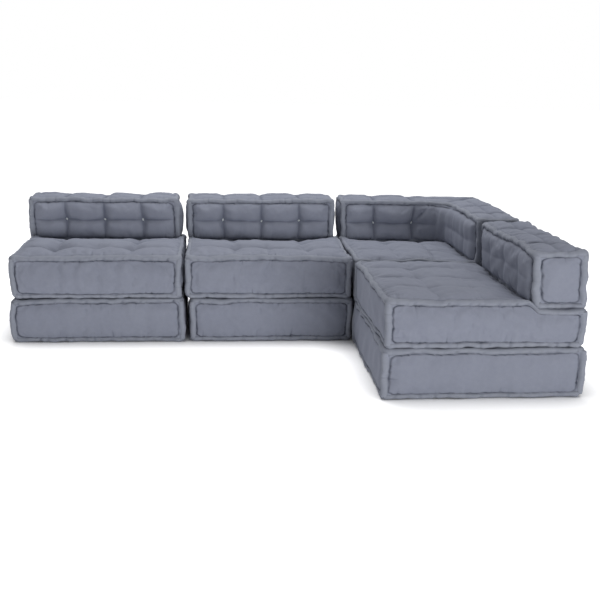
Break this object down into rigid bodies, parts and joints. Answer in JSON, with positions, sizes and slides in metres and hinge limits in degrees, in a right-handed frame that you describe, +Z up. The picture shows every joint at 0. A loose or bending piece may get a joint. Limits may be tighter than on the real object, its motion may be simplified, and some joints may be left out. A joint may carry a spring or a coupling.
{
  "type": "modular corner sofa",
  "caption": "L-shaped modular floor sofa of stacked tufted mattresses: plain bases, tufted seats, loose back cushions and an L-shaped corner back, all with stuffed rolled edges.",
  "frame": {"origin": "on the floor, under the middle of the whole sofa's bounding box", "axes": "+Z up; +X to the right along the back row as a person facing the sofa sees it; +Y to the rear"},
  "size_m": [2.57, 1.7159, 0.6472],
  "materials": {
    "cotton_cover": "slate blue washed cotton canvas, plain weave, matt, softly creased",
    "cotton_roll": "the same cotton drawn tight over stuffed rolls with close hand stitches",
    "filling_block": "cotton and foam block, undyed",
    "waxed_twine": "knotted waxed cotton twine, pale grey"
  },
  "bodies": {
    "left_base": {"left_base_cover": "cotton_cover", "left_base_filling": "filling_block", "left_base_rolls": "cotton_roll", "left_base_tufts": "waxed_twine"},
    "left_seat": {"left_seat_cover": "cotton_cover", "left_seat_filling": "filling_block", "left_seat_rolls": "cotton_roll", "left_seat_tufts": "waxed_twine"},
    "left_back": {"left_back_cover": "cotton_cover", "left_back_filling": "filling_block", "left_back_rolls": "cotton_roll", "left_back_tufts": "waxed_twine"},
    "middle_base": {"middle_base_cover": "cotton_cover", "middle_base_filling": "filling_block", "middle_base_rolls": "cotton_roll", "middle_base_tufts": "waxed_twine"},
    "middle_seat": {"middle_seat_cover": "cotton_cover", "middle_seat_filling": "filling_block", "middle_seat_rolls": "cotton_roll", "middle_seat_tufts": "waxed_twine"},
    "middle_back": {"middle_back_cover": "cotton_cover", "middle_back_filling": "filling_block", "middle_back_rolls": "cotton_roll", "middle_back_tufts": "waxed_twine"},
    "right_base": {"right_base_cover": "cotton_cover", "right_base_filling": "filling_block", "right_base_rolls": "cotton_roll", "right_base_tufts": "waxed_twine"},
    "right_seat": {"right_seat_cover": "cotton_cover", "right_seat_filling": "filling_block", "right_seat_rolls": "cotton_roll", "right_seat_tufts": "waxed_twine"},
    "right_back": {"right_back_cover": "cotton_cover", "right_back_filling": "filling_block", "right_back_rolls": "cotton_roll", "right_back_tufts": "waxed_twine"},
    "corner_base": {"corner_base_cover": "cotton_cover", "corner_base_filling": "filling_block", "corner_base_rolls": "cotton_roll", "corner_base_tufts": "waxed_twine"},
    "corner_seat": {"corner_seat_cover": "cotton_cover", "corner_seat_filling": "filling_block", "corner_seat_rolls": "cotton_roll", "corner_seat_tufts": "waxed_twine"},
    "corner_back": {"corner_back_cover": "cotton_cover", "corner_back_filling": "filling_block", "corner_back_rolls": "cotton_roll", "corner_back_tufts": "waxed_twine"}
  },
  "joints": [
    {"name": "middle_place_slide", "type": "slide", "parent": "corner_base", "child": "middle_base", "axis": [-1, 0, 0], "range_m": [0, 0.4]},
    {"name": "left_place_slide", "type": "slide", "parent": "middle_base", "child": "left_base", "axis": [-1, 0, 0], "range_m": [0, 0.4]},
    {"name": "right_place_slide", "type": "slide", "parent": "corner_base", "child": "right_base", "axis": [0, -1, 0], "range_m": [0, 0.4]},
    {"name": "left_seat_lift", "type": "slide", "parent": "left_base", "child": "left_seat", "axis": [0, 0, 1], "range_m": [0, 0.3]},
    {"name": "left_back_lift", "type": "slide", "parent": "left_seat", "child": "left_back", "axis": [0, 0, 1], "range_m": [0, 0.25]},
    {"name": "middle_seat_lift", "type": "slide", "parent": "middle_base", "child": "middle_seat", "axis": [0, 0, 1], "range_m": [0, 0.3]},
    {"name": "middle_back_lift", "type": "slide", "parent": "middle_seat", "child": "middle_back", "axis": [0, 0, 1], "range_m": [0, 0.25]},
    {"name": "right_seat_lift", "type": "slide", "parent": "right_base", "child": "right_seat", "axis": [0, 0, 1], "range_m": [0, 0.3]},
    {"name": "right_back_lift", "type": "slide", "parent": "right_seat", "child": "right_back", "axis": [0, 0, 1], "range_m": [0, 0.25]},
    {"name": "corner_seat_lift", "type": "slide", "parent": "corner_base", "child": "corner_seat", "axis": [0, 0, 1], "range_m": [0, 0.3]},
    {"name": "corner_back_lift", "type": "slide", "parent": "corner_seat", "child": "corner_back", "axis": [0, 0, 1], "range_m": [0, 0.25]}
  ]
}
